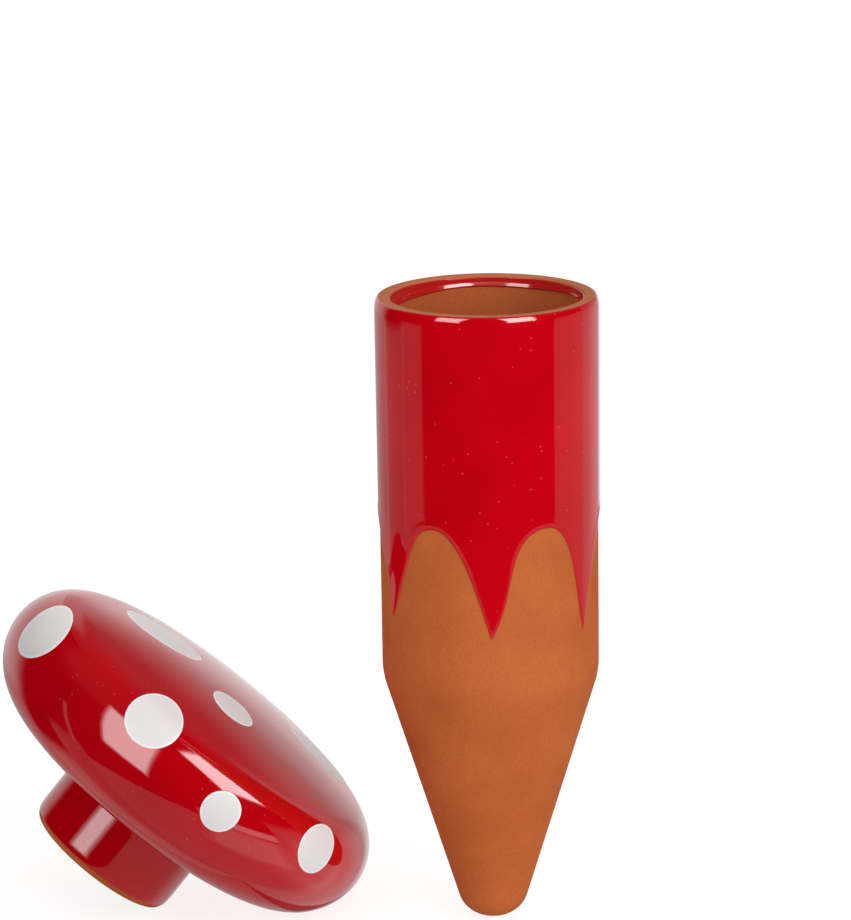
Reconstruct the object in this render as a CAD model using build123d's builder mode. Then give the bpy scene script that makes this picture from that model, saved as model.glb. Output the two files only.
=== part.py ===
from build123d import *
import math
import os

# A self watering spike in glazed terracotta, in millimetres. The hollow spike stands on its tip at the
# origin, with +Z up along its axis. Its mushroom cap is taken off and lies beside it, tipped over on the
# edge of its dome and the foot of its plug. The front is -Y.

# Spike, in fired clay under the glaze
spike_length = 125.4
rim_radius = 21.6
shoulder_radius = 21.3
shoulder_height = 50.0
tip_radius = 5.4
spike_wall = 2.55
tip_wall = 6.0
shoulder_rounding = 13.5
tip_rounding = 5.8
rim_outer_rounding = 0.6
rim_inner_rounding = 0.4
inner_tip_rounding_share = 0.6

# Glaze on the spike: a sleeve with a hem of six drips, and a band inside the mouth
glaze_thickness = 0.4
hem_thickness = 0.3
sleeve_top_rounding = 0.2
lip_depth = 2.1
throat_depth = 6.0
hem_above_shoulder = 10.4
arch_height = 22.2
drip_turns = (-62.5, 0.0, 58.5, 119.0, 179.0, 238.5)
drip_rise_shares = (0.09, 0.0, -0.03, 0.05, 0.01, 0.06)
arch_top_shares = (1.0, 1.005, 0.98, 1.01, 0.99, 1.0)
flank_width_shares = (0.75, 0.565)
flank_height_shares = (0.446, 1.0)

# Cap, over its glaze, from its widest line
cap_radius = 43.0
crown_height = 14.1
underside_depth = 15.6
upper_edge_rounding = 11.1
lower_edge_rounding = 12.9
cap_wall = 3.2
plug_clearance = 2.65
plug_length = 13.5
plug_wall = 2.8
plug_fillet = 2.0
foot_rounding = 1.5

# White dots, inlaid in the cap's glaze: turn about the cap's axis in degrees from the low side,
# share of the way out from the crown's centre to the widest line, share of the largest dot's size
largest_dot = 18.0
dot_turns = (-159.3, 142.6, -110.9, -85.8, 32.4, -80.8, -46.7, 22.0, 62.0, 96.0, 122.0, 158.0)
dot_place_shares = (0.91, 0.414, 0.79, 0.186, 0.567, 0.93, 0.859, 0.93, 0.80, 0.91, 0.73, 0.92)
dot_size_shares = (0.733, 1.0, 0.69, 0.556, 0.867, 0.456, 0.567, 0.60, 0.78, 0.50, 0.68, 0.53)

# Where the cap lies
cap_left_of_spike = 60.4
cap_behind_spike = 10.6

overrun = 2.0

cone_angle = math.atan2(shoulder_radius - tip_radius, shoulder_height)
mouth_radius = rim_radius - spike_wall
inner_shoulder_radius = shoulder_radius - spike_wall
inner_shoulder_height = shoulder_height + spike_wall * (1 / math.cos(cone_angle) - 1) / math.tan(cone_angle)
inner_tip_radius = tip_radius + tip_wall * math.tan(cone_angle) - spike_wall / math.cos(cone_angle)

# The spike's clay: one section with its wall, turned about the axis
with BuildPart() as spike_body:
    with BuildSketch(Plane.XZ):
        with BuildLine():
            FilletPolyline(
                (0, 0),
                (tip_radius, 0),
                (shoulder_radius, shoulder_height),
                (rim_radius, spike_length),
                (mouth_radius, spike_length),
                (mouth_radius, spike_length - throat_depth),
                (inner_shoulder_radius, inner_shoulder_height),
                (inner_tip_radius, tip_wall),
                (0, tip_wall),
                radius=(
                    0,
                    tip_rounding,
                    shoulder_rounding,
                    rim_outer_rounding,
                    rim_inner_rounding,
                    0,
                    shoulder_rounding - spike_wall,
                    inner_tip_radius * inner_tip_rounding_share,
                    0,
                ),
                close=True,
            )
        make_face()
    revolve(axis=Axis.Z)

# The glazed sleeve: from the rim's rounding down to the lowest drip, then cut by one arch between each
# two drips, so that the drips are what is left between the arches
sleeve_top = spike_length - rim_outer_rounding
sleeve_reach = max(rim_radius, shoulder_radius) + glaze_thickness
hem_height = shoulder_height + hem_above_shoulder
hem_low = hem_height + arch_height * min(drip_rise_shares)


def clay_radius(height):
    """Outer radius of the tube's clay at this height."""
    share = (height - shoulder_height) / (spike_length - shoulder_height)
    return shoulder_radius + (rim_radius - shoulder_radius) * share


with BuildPart() as spike_glaze:
    with BuildSketch(Plane.XZ):
        with BuildLine():
            FilletPolyline(
                (clay_radius(sleeve_top), sleeve_top),
                (clay_radius(sleeve_top) + glaze_thickness, sleeve_top),
                (clay_radius(hem_low) + hem_thickness, hem_low),
                (clay_radius(hem_low), hem_low),
                radius=(0, sleeve_top_rounding, 0, 0),
                close=True,
            )
        make_face()
    revolve(axis=Axis.Z)
    for number, start_turn in enumerate(drip_turns):
        follower = (number + 1) % len(drip_turns)
        end_turn = drip_turns[follower] + (360 if follower == 0 else 0)
        middle_turn = (start_turn + end_turn) / 2
        half_width = sleeve_reach * math.sin(math.radians(end_turn - start_turn) / 2)
        arch_top = hem_height + arch_height * arch_top_shares[number]
        with BuildSketch(Plane(Location((0, 0, 0), (0, 0, middle_turn)) * Plane.XZ.location)):
            with BuildLine():
                flanks = []
                for side, tip in ((-1, number), (1, follower)):
                    tip_height = hem_height + arch_height * drip_rise_shares[tip]
                    flank_rise = arch_top - tip_height
                    flanks.append(
                        Bezier(
                            (side * half_width, tip_height),
                            (
                                side * half_width * flank_width_shares[0],
                                tip_height + flank_rise * flank_height_shares[0],
                            ),
                            (
                                side * half_width * flank_width_shares[1],
                                tip_height + flank_rise * flank_height_shares[1],
                            ),
                            (0, arch_top),
                        )
                    )
                Polyline(
                    flanks[0] @ 0,
                    (-half_width, hem_low - overrun),
                    (half_width, hem_low - overrun),
                    flanks[1] @ 0,
                )
            make_face()
        extrude(amount=sleeve_reach + overrun, mode=Mode.SUBTRACT)

# The band of glaze just inside the mouth
lip_top = spike_length - rim_inner_rounding

with BuildPart() as mouth_glaze:
    with BuildSketch(Plane.XY.offset(lip_top - lip_depth)):
        Circle(mouth_radius)
        Circle(mouth_radius - glaze_thickness, mode=Mode.SUBTRACT)
    extrude(amount=lip_depth)

# The cap's shape: four tangent arcs round the dome, and a plug that goes into the mouth
upper_reach = cap_radius - upper_edge_rounding
lower_reach = cap_radius - lower_edge_rounding
crown_radius = (upper_reach**2 + crown_height**2 - upper_edge_rounding**2) / (
    2 * (crown_height - upper_edge_rounding)
)
underside_radius = (lower_reach**2 + underside_depth**2 - lower_edge_rounding**2) / (
    2 * (underside_depth - lower_edge_rounding)
)
crown_angle = math.degrees(math.asin(upper_reach / (crown_radius - upper_edge_rounding)))
underside_angle = math.degrees(math.asin(lower_reach / (underside_radius - lower_edge_rounding)))
plug_radius = mouth_radius - glaze_thickness - plug_clearance
bore_radius = plug_radius - glaze_thickness - plug_wall
plug_end = -underside_depth - plug_length


def dome_arcs(inset):
    """Arcs of the dome from the crown's centre round to the underside's, this far inside its surface."""
    crown = JernArc((0, crown_height - inset), (1, 0), crown_radius - inset, -crown_angle)
    upper = JernArc(crown @ 1, crown % 1, upper_edge_rounding - inset, crown_angle - 90)
    lower = JernArc(upper @ 1, upper % 1, lower_edge_rounding - inset, underside_angle - 90)
    underside = JernArc(lower @ 1, lower % 1, underside_radius - inset, -underside_angle)
    return crown, underside


def cap_section_at(inset, end_height, end_rounding):
    """Filled half section of the dome and its plug, this far inside the finished surface."""
    with BuildSketch() as section:
        with BuildLine():
            crown, underside = dome_arcs(inset)
            Line(underside @ 1, crown @ 0)
        make_face()
        with BuildLine():
            FilletPolyline(
                (0, 0),
                (plug_radius - inset, 0),
                (plug_radius - inset, end_height),
                (0, end_height),
                radius=(0, 0, end_rounding, 0),
                close=True,
            )
        make_face()
        corner = section.vertices().sort_by_distance((plug_radius - inset, -underside_depth + inset))[0]
        fillet(corner, plug_fillet - inset)
    return section.sketch


finished_section = cap_section_at(0, plug_end + foot_rounding, 0)
clay_section = cap_section_at(glaze_thickness, plug_end, foot_rounding)

# The cap lies where a level line touches both the rounding of the foot and the dome's lower edge
foot_across = lower_reach - (plug_radius - glaze_thickness - foot_rounding)
foot_down = -plug_end - foot_rounding
foot_distance = math.hypot(foot_across, foot_down)
foot_slope = math.atan2(foot_down, foot_across)
contact_angle = math.acos((foot_rounding - lower_edge_rounding) / foot_distance) - foot_slope
cap_tilt = 90 - math.degrees(contact_angle)
cap_height = lower_reach * math.cos(contact_angle) + lower_edge_rounding
cap_place = Location((-cap_left_of_spike, cap_behind_spike, cap_height), (0, cap_tilt, 0))
cap_section = Plane(cap_place * Plane.XZ.location)
cap_axis = Axis(cap_section.origin, cap_section.y_dir)

# The cap's clay, hollow through the open plug
with BuildPart() as cap_body:
    with BuildSketch(cap_section):
        add(clay_section)
    revolve(axis=cap_axis)
    with BuildSketch(cap_section):
        with BuildLine():
            crown, underside = dome_arcs(glaze_thickness + cap_wall)
            Line(underside @ 1, crown @ 0)
        make_face()
        with BuildLine():
            Polyline(
                (0, 0),
                (bore_radius, 0),
                (bore_radius, plug_end - overrun),
                (0, plug_end - overrun),
                close=True,
            )
        make_face()
    revolve(axis=cap_axis, mode=Mode.SUBTRACT)

# The cap's glaze, over the dome and the plug down to the bare foot, before the dots are let into it
with BuildPart() as whole_coat:
    with BuildSketch(cap_section):
        add(finished_section)
        add(clay_section, mode=Mode.SUBTRACT)
    revolve(axis=cap_axis)

with BuildLine() as dome_line:
    top_arc = JernArc((0, crown_height), (1, 0), crown_radius, -crown_angle)
    JernArc(top_arc @ 1, top_arc % 1, upper_edge_rounding, crown_angle - 90)
dome_wire = dome_line.wire()

dot_planes = []
dot_radii = []
for turn, place_share, size_share in zip(dot_turns, dot_place_shares, dot_size_shares):
    place = dome_wire @ place_share
    slope = dome_wire % place_share
    upright = Plane(origin=(place.X, 0, place.Y), x_dir=(0, 1, 0), z_dir=(-slope.Y, 0, slope.X))
    dot_planes.append(Plane(cap_place * Location((0, 0, 0), (0, 0, turn)) * upright.location))
    dot_radii.append(largest_dot * size_share / 2)

with BuildPart() as cap_glaze:
    add(whole_coat.part)
    for dot_plane, dot_radius in zip(dot_planes, dot_radii):
        with BuildSketch(dot_plane):
            Circle(dot_radius)
        extrude(amount=dot_radius, both=True, mode=Mode.SUBTRACT)

dots = []
for dot_plane, dot_radius in zip(dot_planes, dot_radii):
    with BuildPart() as dot:
        with BuildSketch(dot_plane):
            Circle(dot_radius)
        extrude(amount=dot_radius, both=True)
        add(whole_coat.part, mode=Mode.INTERSECT)
    dots.append(dot)

spike_body.part.label = "spike_body"
spike_glaze.part.label = "spike_glaze"
mouth_glaze.part.label = "mouth_glaze"
cap_body.part.label = "cap_body"
cap_glaze.part.label = "cap_glaze"

os.makedirs("parts", exist_ok=True)
export_step(spike_body.part, "parts/spike_body.step")
export_step(spike_glaze.part, "parts/spike_glaze.step")
export_step(mouth_glaze.part, "parts/mouth_glaze.step")
export_step(cap_body.part, "parts/cap_body.step")
export_step(cap_glaze.part, "parts/cap_glaze.step")
for number, dot in enumerate(dots, start=1):
    dot.part.label = f"dot_{number}"
    export_step(dot.part, f"parts/dot_{number}.step")
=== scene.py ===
"""A self watering spike in glazed terracotta, with its mushroom cap taken off and lying beside it."""

from __future__ import annotations

import logging
import math
from collections.abc import Sequence
from dataclasses import dataclass, field, replace
from enum import Enum

import bmesh
import bpy
from mathutils import Matrix, Vector
from mathutils.kdtree import KDTree


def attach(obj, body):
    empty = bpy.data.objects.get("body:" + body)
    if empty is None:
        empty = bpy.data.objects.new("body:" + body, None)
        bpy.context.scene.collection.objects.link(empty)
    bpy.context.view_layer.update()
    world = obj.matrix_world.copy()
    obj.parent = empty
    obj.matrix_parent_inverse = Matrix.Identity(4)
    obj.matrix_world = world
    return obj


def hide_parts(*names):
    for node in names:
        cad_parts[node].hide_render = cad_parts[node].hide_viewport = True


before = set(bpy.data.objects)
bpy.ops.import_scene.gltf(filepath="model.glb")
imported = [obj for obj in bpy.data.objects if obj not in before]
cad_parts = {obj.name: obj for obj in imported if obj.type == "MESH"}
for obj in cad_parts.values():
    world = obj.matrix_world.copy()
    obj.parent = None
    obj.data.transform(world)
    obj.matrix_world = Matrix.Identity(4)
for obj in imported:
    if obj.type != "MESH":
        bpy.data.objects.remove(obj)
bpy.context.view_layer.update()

MM = 0.001
SHARP_ANGLE = math.radians(40)

# Name of the value that the coats and the dots carry for their finishes: the glaze's depth, held low along
# edges and in the mouth band, where it also paints pale highlights and a pale reflection
GLAZE_DEPTH_AND_SHEEN = "glaze_depth_and_sheen"

# Halvings in the search for a place on a curve, and steps that bring a point onto the dome
HALVINGS = 40
SETTLING_STEPS = 60

# Where the camera stands, and the points that the panels hang round
CAMERA_PLACE = Vector((-12.33, -1500, 438.41)) * MM
DOME_CENTRE = Vector((-60.4, 10.6, 35.0)) * MM
PLUG_CENTRE = Vector((-74.2, 10.6, 14.7)) * MM
TUBE_CENTRE = Vector((0, 0, 95.0)) * MM
MIDDLE = Vector((-30.0, 0, 60.0)) * MM

log = logging.getLogger("spike")

Colour = tuple[float, float, float]


class Body(Enum):
    """The two bodies of the object, by name."""

    SPIKE = "spike"
    CAP = "cap"


class Slot(Enum):
    """The record's material slots."""

    TERRACOTTA = "terracotta"
    RED_GLAZE = "red_glaze"
    WHITE_GLAZE = "white_glaze"


def linear(*seen: int) -> Colour:
    """A colour for the shaders.

    Args:
        *seen: Its red, green and blue of 0 to 255 as seen on a screen.

    Returns:
        The same colour in linear light.
    """
    shares = [value / 255 for value in seen]
    return tuple(x / 12.92 if x <= 0.04045 else ((x + 0.055) / 1.055) ** 2.4 for x in shares)


def towards(azimuth: float, elevation: float) -> Vector:
    """A direction in the studio.

    Args:
        azimuth: Degrees round from the front, positive to the right.
        elevation: Degrees above the level.

    Returns:
        The unit vector.
    """
    turn = math.radians(azimuth)
    rise = math.radians(elevation)
    return Vector((math.sin(turn) * math.cos(rise), -math.cos(turn) * math.cos(rise), math.sin(rise)))


def bezier(share: float, points: Sequence[float]) -> float:
    """One coordinate of a cubic Bezier curve.

    Args:
        share: How far along the curve, from 0 to 1.
        points: The coordinate at the four control points.

    Returns:
        The coordinate there.
    """
    rest = 1 - share
    return (
        points[0] * rest**3
        + 3 * points[1] * share * rest**2
        + 3 * points[2] * share**2 * rest
        + points[3] * share**3
    )


class Template:
    """A potter's template: an edge line in the plane of radius and height, then turned about the axis."""

    def __init__(self, radius: float, height: float) -> None:
        """Starts the line.

        Args:
            radius: Distance of the first point from the axis.
            height: Height of the first point.
        """
        self.mesh = bmesh.new()
        self.end = bmesh.ops.create_vert(self.mesh, co=(radius, 0, height))["vert"][0]
        self.corners: list[tuple[bmesh.types.BMVert, float, int]] = []

    def line_to(self, radius: float, height: float, steps: int = 1) -> Template:
        """Draws a straight line on from the end.

        Args:
            radius: Where it ends, from the axis.
            height: Where it ends, in height.
            steps: Edges that it is made of.

        Returns:
            This template.
        """
        start = self.end.co.copy()
        finish = Vector((radius, 0, height))
        for step in range(steps):
            grown = bmesh.ops.extrude_vert_indiv(self.mesh, verts=[self.end])
            self.end = grown["verts"][0]
            self.end.co = start.lerp(finish, (step + 1) / steps)
        return self

    def arc_about(self, radius: float, height: float, turn: float, steps: int) -> Template:
        """Draws an arc on from the end, clockwise for a positive turn.

        Args:
            radius: The arc's centre, from the axis.
            height: The arc's centre, in height.
            turn: Degrees that the arc turns through.
            steps: Edges that it is made of.

        Returns:
            This template.
        """
        grown = bmesh.ops.spin(
            self.mesh,
            geom=[self.end],
            cent=(radius, 0, height),
            axis=(0, 1, 0),
            dvec=(0, 0, 0),
            angle=math.radians(turn),
            steps=steps,
            use_merge=False,
            use_normal_flip=False,
            use_duplicate=False,
        )
        self.end = next(item for item in grown["geom_last"] if isinstance(item, bmesh.types.BMVert))
        return self

    def rounded(self, rounding: float, steps: int) -> Template:
        """Marks the end as a corner to be rounded once the line is whole.

        Args:
            rounding: Radius of the rounding.
            steps: Edges that it is made of.

        Returns:
            This template.
        """
        self.corners.append((self.end, rounding, steps))
        return self

    def turned(self, steps: int) -> bmesh.types.BMesh:
        """Rounds the marked corners and turns the line about the axis.

        Args:
            steps: Steps of the full turn.

        Returns:
            The turned mesh, closed and facing outwards.
        """
        for corner, rounding, segments in self.corners:
            arms = [edge.other_vert(corner).co - corner.co for edge in corner.link_edges]
            bend = math.pi - arms[0].angle(arms[1])
            bmesh.ops.bevel(
                self.mesh,
                geom=[corner],
                offset=rounding * math.tan(bend / 2),
                offset_type="OFFSET",
                segments=segments,
                profile=0.5,
                affect="VERTICES",
                material=-1,
                clamp_overlap=False,
            )
        bmesh.ops.spin(
            self.mesh,
            geom=self.mesh.verts[:] + self.mesh.edges[:],
            cent=(0, 0, 0),
            axis=(0, 0, 1),
            dvec=(0, 0, 0),
            angle=math.tau,
            steps=steps,
            use_merge=True,
            use_normal_flip=False,
            use_duplicate=False,
        )
        close_up(self.mesh)
        return self.mesh


def close_up(mesh: bmesh.types.BMesh) -> None:
    """Merges seams and poles, and turns the faces outwards."""
    bmesh.ops.remove_doubles(mesh, verts=mesh.verts[:], dist=0.001 * MM)
    bmesh.ops.recalc_face_normals(mesh, faces=mesh.faces[:])


def placed(name: str, data: bpy.types.ID) -> bpy.types.Object:
    """Puts a new object in the scene.

    Args:
        name: What it is called.
        data: Its mesh, lamp or camera.

    Returns:
        The object.
    """
    thing = bpy.data.objects.new(name, data)
    bpy.context.scene.collection.objects.link(thing)
    return thing


@dataclass(frozen=True)
class Piece:
    """What a piece of the object is called, and where it belongs."""

    name: str
    body: Body
    slot: Slot
    nodes: tuple[str, ...]

    def made_from(self, mesh: bmesh.types.BMesh, finish: bpy.types.Material) -> bpy.types.Object:
        """Turns a mesh into the piece.

        Args:
            mesh: The piece's shape, in place.
            finish: Its material.

        Returns:
            The piece, riding on its body.
        """
        for face in mesh.faces:
            face.smooth = True
        for edge in mesh.edges:
            edge.smooth = edge.is_manifold and edge.calc_face_angle() < SHARP_ANGLE
        data = bpy.data.meshes.new(self.name)
        mesh.to_mesh(data)
        mesh.free()
        data.materials.append(finish)
        piece = placed(self.name, data)
        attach(piece, self.body.value)
        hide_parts(*self.nodes)
        log.info("%s: %d faces, on %s", self.name, len(data.polygons), self.body.value)
        return piece


class Shader:
    """A material's or a world's node tree, with short ways to add nodes and join them."""

    def __init__(self, tree: bpy.types.NodeTree) -> None:
        """Clears the tree.

        Args:
            tree: The node tree to fill.
        """
        self.tree = tree
        self.tree.nodes.clear()

    def node(self, kind: str, inputs: dict | None = None, **settings: object) -> bpy.types.Node:
        """Adds a node.

        Args:
            kind: The node's type.
            inputs: Values or sockets for its inputs, by name or number.
            **settings: Its properties.

        Returns:
            The node.
        """
        node = self.tree.nodes.new(kind)
        for name, value in settings.items():
            setattr(node, name, value)
        for name, value in (inputs or {}).items():
            self.put(node.inputs[name], value)
        return node

    def put(self, socket: bpy.types.NodeSocket, value: object) -> None:
        """Gives a socket a link or a value."""
        if isinstance(value, bpy.types.NodeSocket):
            self.tree.links.new(value, socket)
        elif isinstance(value, tuple) and len(value) == 3 and socket.type == "RGBA":
            socket.default_value = (*value, 1)
        else:
            socket.default_value = value

    def math(self, operation: str, *values: object) -> bpy.types.NodeSocket:
        """One sum on numbers, such as "ADD" or "MULTIPLY", and its result."""
        node = self.node("ShaderNodeMath", dict(enumerate(values)), operation=operation)
        return node.outputs[0]

    def step(
        self, value: object, start: float, end: float, low: float = 0.0, high: float = 1.0
    ) -> bpy.types.NodeSocket:
        """A smooth change from one value to another.

        Args:
            value: The number that it depends on.
            start: Where the change starts.
            end: Where the change ends.
            low: The result before the start.
            high: The result after the end.

        Returns:
            The result's socket.
        """
        node = self.node(
            "ShaderNodeMapRange",
            {"Value": value, "From Min": start, "From Max": end, "To Min": low, "To Max": high},
            interpolation_type="SMOOTHSTEP",
        )
        return node.outputs["Result"]

    def mix(self, share: object, first: object, second: object) -> bpy.types.NodeSocket:
        """A blend of two colours."""
        node = self.node("ShaderNodeMix", data_type="RGBA")
        self.put(node.inputs["Factor"], share)
        self.put(node.inputs[6], first)
        self.put(node.inputs[7], second)
        return node.outputs[2]

    def noise(
        self, place: object, scale: float, detail: float, roughness: float = 0.5
    ) -> bpy.types.NodeSocket:
        """A soft random pattern.

        Args:
            place: Where it is read.
            scale: Cells to the metre.
            detail: Finer layers on top of the first.
            roughness: Strength of the finer layers.

        Returns:
            Its value.
        """
        node = self.node(
            "ShaderNodeTexNoise",
            {"Vector": place, "Scale": scale, "Detail": detail, "Roughness": roughness},
        )
        return node.outputs["Fac"]

    def object_place(self) -> bpy.types.NodeSocket:
        """The place on the object, in its own coordinates."""
        return self.node("ShaderNodeTexCoord").outputs["Object"]

    def glaze_depth_and_sheen(self) -> bpy.types.NodeSocket:
        """The share of the glaze's full depth that the mesh carries, which also paints pale highlights and
        a pale reflection where it is held low.
        """
        return self.node("ShaderNodeAttribute", attribute_name=GLAZE_DEPTH_AND_SHEEN).outputs["Fac"]

    def bump(self, height: object, distance: float, strength: float) -> bpy.types.NodeSocket:
        """The normals of a surface with this relief."""
        inputs = {"Height": height, "Distance": distance, "Strength": strength}
        return self.node("ShaderNodeBump", inputs).outputs["Normal"]

    def surface(self, inputs: dict) -> None:
        """Ends a material with a principled surface."""
        coat = self.node("ShaderNodeBsdfPrincipled", inputs)
        self.node("ShaderNodeOutputMaterial", {"Surface": coat.outputs[0]})


def new_material(name: str) -> tuple[bpy.types.Material, Shader]:
    """A new material and the shader to fill it with."""
    material = bpy.data.materials.new(name)
    material.use_nodes = True
    return material, Shader(material.node_tree)


@dataclass(frozen=True)
class Terracotta:
    """Unglazed fired clay: matt, fine grained, a little uneven in colour."""

    pale: Colour = linear(208, 111, 56)
    deep: Colour = linear(191, 97, 45)
    speck: Colour = linear(172, 84, 42)
    stain: Colour = linear(204, 126, 96)
    stain_height: float = 124.9 * MM
    cloud_size: float = 16 * MM
    grain_size: float = 0.45 * MM
    speck_size: float = 0.9 * MM
    grain_height: float = 0.05 * MM
    cloud_share: float = 0.55
    grain_share: float = 0.45
    speck_strength: float = 0.28
    stain_strength: float = 0.6
    stain_fade: float = 0.3 * MM
    relief: float = 0.6
    roughness: float = 0.88
    gloss: float = 0.12

    def made(self) -> bpy.types.Material:
        """Builds the material."""
        material, shader = new_material("terracotta")
        place = shader.object_place()
        cloud = shader.noise(place, 1 / self.cloud_size, 3)
        grain = shader.noise(place, 1 / self.grain_size, 4, 0.65)
        specks = shader.node("ShaderNodeTexVoronoi", {"Vector": place, "Scale": 1 / self.speck_size})
        clouds = shader.math("MULTIPLY", cloud, self.cloud_share)
        tone = shader.math("ADD", clouds, shader.math("MULTIPLY", grain, self.grain_share))
        clay = shader.mix(shader.step(tone, 0.34, 0.66), self.deep, self.pale)
        near = shader.step(specks.outputs["Distance"], 0.1, 0.3, self.speck_strength, 0.0)
        clay = shader.mix(near, clay, self.speck)
        axes = shader.node("ShaderNodeSeparateXYZ", {0: place})
        stain_end = self.stain_height + self.stain_fade
        rim = shader.step(axes.outputs[2], self.stain_height, stain_end, 0.0, self.stain_strength)
        clay = shader.mix(rim, clay, self.stain)
        normal = shader.bump(grain, self.grain_height, self.relief)
        inputs = {"Base Color": clay, "Roughness": self.roughness, "Normal": normal}
        shader.surface(inputs | {"Specular IOR Level": self.gloss})
        return material


@dataclass(frozen=True)
class RedGlaze:
    """Glossy red glaze, paler where it is thin along its edges, which is partly real thin glaze and partly
    a painted highlight line, with a few pinholes.
    """

    deep: Colour = linear(201, 0, 17)
    full: Colour = linear(210, 1, 20)
    # paler colour of thin glaze, which also paints the pale highlight line on the edges and the reflection
    # haze in the mouth band
    thin: Colour = linear(190, 62, 52)
    pinhole: Colour = linear(222, 128, 120)
    cloud_size: float = 18 * MM
    pinhole_spacing: float = 1.7 * MM
    pinhole_reach: float = 0.075
    pinhole_chance: float = 0.55
    pinhole_strength: float = 0.38
    thin_strength: float = 0.85
    wave_size: float = 7 * MM
    wave_height: float = 0.02 * MM
    relief: float = 0.5
    roughness: float = 0.06
    ior: float = 1.5

    def made(self) -> bpy.types.Material:
        """Builds the material."""
        material, shader = new_material("red_glaze")
        place = shader.object_place()
        cloud = shader.noise(place, 1 / self.cloud_size, 3)
        depth = shader.glaze_depth_and_sheen()
        red = shader.mix(shader.step(cloud, 0.35, 0.65), self.deep, self.full)
        # paler where the depth value is low: thin glaze, and also a painted highlight line and painted
        # reflection
        red = shader.mix(shader.step(depth, 0.1, 0.75, self.thin_strength, 0.0), red, self.thin)
        holes = shader.node("ShaderNodeTexVoronoi", {"Vector": place, "Scale": 1 / self.pinhole_spacing})
        chance = shader.node("ShaderNodeSeparateColor", {"Color": holes.outputs["Color"]}).outputs[0]
        reach = self.pinhole_reach
        near = shader.step(holes.outputs["Distance"], reach, reach * 1.6, 1.0, 0.0)
        hole = shader.math("MULTIPLY", near, shader.math("GREATER_THAN", chance, self.pinhole_chance))
        red = shader.mix(shader.math("MULTIPLY", hole, self.pinhole_strength), red, self.pinhole)
        wave = shader.noise(place, 1 / self.wave_size, 2, 0.4)
        normal = shader.bump(wave, self.wave_height, self.relief)
        inputs = {"Base Color": red, "Roughness": self.roughness, "Normal": normal}
        shader.surface(inputs | {"IOR": self.ior})
        return material


@dataclass(frozen=True)
class WhiteGlaze:
    """The opaque white glaze of the dots, less glossy than the red."""

    full: Colour = linear(234, 231, 231)
    thin: Colour = linear(233, 224, 223)
    rim: Colour = linear(252, 251, 251)
    cloud_size: float = 5 * MM
    roughness: float = 0.36
    gloss: float = 0.12

    def made(self) -> bpy.types.Material:
        """Builds the material."""
        material, shader = new_material("white_glaze")
        place = shader.object_place()
        cloud = shader.noise(place, 1 / self.cloud_size, 3)
        white = shader.mix(shader.step(cloud, 0.3, 0.7, 0.0, 0.35), self.full, self.thin)
        depth = shader.glaze_depth_and_sheen()
        white = shader.mix(depth, self.rim, white)
        rough = shader.step(cloud, 0.2, 0.8, self.roughness - 0.03, self.roughness + 0.05)
        shader.surface({"Base Color": white, "Roughness": rough, "Specular IOR Level": self.gloss})
        return material


@dataclass(frozen=True)
class Finishes:
    """The three finishes of the object, made once and shared."""

    terracotta: bpy.types.Material
    red_glaze: bpy.types.Material
    white_glaze: bpy.types.Material

    @classmethod
    def made(cls) -> Finishes:
        """Builds all three."""
        return cls(Terracotta().made(), RedGlaze().made(), WhiteGlaze().made())


@dataclass(frozen=True)
class Flank:
    """The curve of the hem from a drip's tip up to an arch's top, as shares of its width and height."""

    width_near_tip: float
    height_near_tip: float
    width_near_top: float

    def height_at(self, across: float) -> float:
        """Height share at a place on the flank.

        Args:
            across: Share of the way from the arch's top, 0, to the drip's tip, 1.

        Returns:
            The share of the height above the tip.
        """
        widths = (1.0, self.width_near_tip, self.width_near_top, 0.0)
        heights = (0.0, self.height_near_tip, 1.0, 1.0)
        low = 0.0
        high = 1.0
        for _ in range(HALVINGS):
            middle = (low + high) / 2
            if bezier(middle, widths) > across:
                low = middle
            else:
                high = middle
        return bezier((low + high) / 2, heights)


@dataclass(frozen=True)
class Drip:
    """One drip of the hem: where its tip is, in degrees from the front and metres of height."""

    turn: float
    height: float


@dataclass(frozen=True)
class Arch:
    """The bare arch that follows a drip: its top, and its two flanks."""

    turn: float
    height: float
    left: Flank
    right: Flank


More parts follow.
